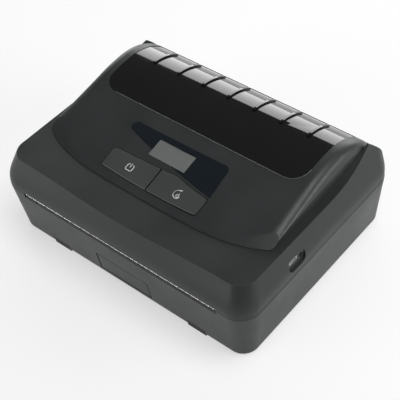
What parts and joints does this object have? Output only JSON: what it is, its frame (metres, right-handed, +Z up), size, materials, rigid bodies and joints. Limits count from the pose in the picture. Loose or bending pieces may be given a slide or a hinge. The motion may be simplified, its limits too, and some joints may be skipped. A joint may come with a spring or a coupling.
{
  "type": "label printer",
  "caption": "Portable label printer with a hinged lid, smoked roll window, small display, two keys and a front paper slot.",
  "frame": {"origin": "on the ground, under the centre of the whole object", "axes": "+X to the printer's right, +Y from the front with the slot to the back with the hinge, +Z up"},
  "size_m": [0.152, 0.1184, 0.061],
  "materials": {
    "lower_shell": "moulded, fine texture",
    "upper_shell": "moulded, fine satin texture",
    "panel": "moulded, fine texture, a little lighter",
    "smoked_window": "polished smoked acrylic, nearly opaque",
    "lens": "polished blue-black",
    "display": "grey reflective liquid crystal",
    "steel": "turned",
    "plated_steel": "zinc plated sheet",
    "aluminium": "extruded",
    "brass": "cut",
    "motor_can": "plated can",
    "black_plastic": "moulded",
    "white_plastic": "natural acetal",
    "guide": "moulded",
    "battery": "moulded",
    "rubber": "matt",
    "platen_rubber": "ground",
    "silicone": "translucent grey",
    "circuit_board": "solder mask",
    "ceramic": "glazed ceramic"
  },
  "bodies": {
    "base": {"base_shell": "lower_shell", "base_screws": "steel", "rubber_feet": "rubber", "battery_contacts": "black_plastic", "mechanism_frame": "plated_steel", "platen_bushes": "white_plastic", "feed_motor": "motor_can", "exit_chute": "black_plastic", "media_sensor": "black_plastic", "roll_tray": "black_plastic", "guide_rail": "black_plastic", "latch_springs": "steel", "hinge_pins": "steel"},
    "lid": {"upper_housing": "upper_shell", "tear_bar": "plated_steel", "top_panel": "panel", "roll_window": "smoked_window", "display_lens": "lens", "display_frame": "plated_steel", "display_cell": "display", "key_membrane": "silicone", "panel_board": "circuit_board", "main_board": "circuit_board", "usb_socket": "plated_steel", "power_jack": "black_plastic"},
    "latch": {"release_latch": "lower_shell"},
    "battery": {"battery_pack": "battery"},
    "platen": {"platen_shaft": "steel", "platen_rubber": "platen_rubber", "platen_gear": "white_plastic"},
    "idler": {"idler_gear": "white_plastic"},
    "motor_spindle": {"motor_shaft": "steel", "motor_pinion": "brass"},
    "left_guide": {"guide_left": "guide"},
    "right_guide": {"guide_right": "guide"},
    "centring_pinion": {"guide_pinion": "white_plastic"},
    "power_key": {"power_button": "panel"},
    "feed_key": {"feed_button": "panel"},
    "head": {"head_bracket": "plated_steel", "head_heat_sink": "aluminium", "print_head": "ceramic", "head_springs": "steel"}
  },
  "joints": [
    {"name": "lid_hinge", "type": "hinge", "parent": "base", "child": "lid", "pos_m": [0, 0.0569, 0.031], "axis": [-1, 0, 0], "range_deg": [0, 80]},
    {"name": "latch_press", "type": "slide", "parent": "base", "child": "latch", "axis": [0, 1, 0], "range_m": [0, 0.0014], "stiffness_N_per_m": 900, "springref_m": -0.0004, "deforming": ["latch_springs"]},
    {"name": "battery_slide", "type": "slide", "parent": "base", "child": "battery", "axis": [0, 1, 0], "range_m": [0, 0.06]},
    {"name": "platen_spin", "type": "hinge", "parent": "base", "child": "platen", "pos_m": [0, -0.0442, 0.0245], "axis": [1, 0, 0], "continuous": true},
    {"name": "idler_spin", "type": "hinge", "parent": "base", "child": "idler", "pos_m": [-0.068, -0.02861, 0.0155], "axis": [1, 0, 0], "continuous": true},
    {"name": "motor_spin", "type": "hinge", "parent": "base", "child": "motor_spindle", "pos_m": [-0.068, -0.04214, 0.01057], "axis": [1, 0, 0], "continuous": true},
    {"name": "left_guide_slide", "type": "slide", "parent": "base", "child": "left_guide", "axis": [1, 0, 0], "range_m": [0, 0.028]},
    {"name": "right_guide_slide", "type": "slide", "parent": "base", "child": "right_guide", "axis": [-1, 0, 0], "range_m": [0, 0.028]},
    {"name": "centring_pinion_spin", "type": "hinge", "parent": "base", "child": "centring_pinion", "pos_m": [0, -0.0132, 0.0135], "axis": [0, 0, 1], "range_deg": [0, 460]},
    {"name": "power_key_press", "type": "slide", "parent": "lid", "child": "power_key", "axis": [0, 0.225, -0.9744], "range_m": [0, 0.0006], "stiffness_N_per_m": 700, "springref_m": -0.0003},
    {"name": "feed_key_press", "type": "slide", "parent": "lid", "child": "feed_key", "axis": [0, 0.225, -0.9744], "range_m": [0, 0.0006], "stiffness_N_per_m": 700, "springref_m": -0.0003},
    {"name": "head_lift", "type": "hinge", "parent": "lid", "child": "head", "pos_m": [0, -0.0262, 0.038], "axis": [-1, 0, 0], "range_deg": [0, 3], "stiffness_Nm_per_rad": 1.5, "springref_deg": -17.19, "deforming": ["head_springs"]}
  ],
  "couplings": [
    {"joint": "idler_spin", "follows": "platen_spin", "ratio": -0.66667},
    {"joint": "motor_spin", "follows": "platen_spin", "ratio": 2},
    {"joint": "right_guide_slide", "follows": "left_guide_slide", "ratio": 1},
    {"joint": "centring_pinion_spin", "follows": "left_guide_slide", "rad_per_m": 285.71}
  ]
}
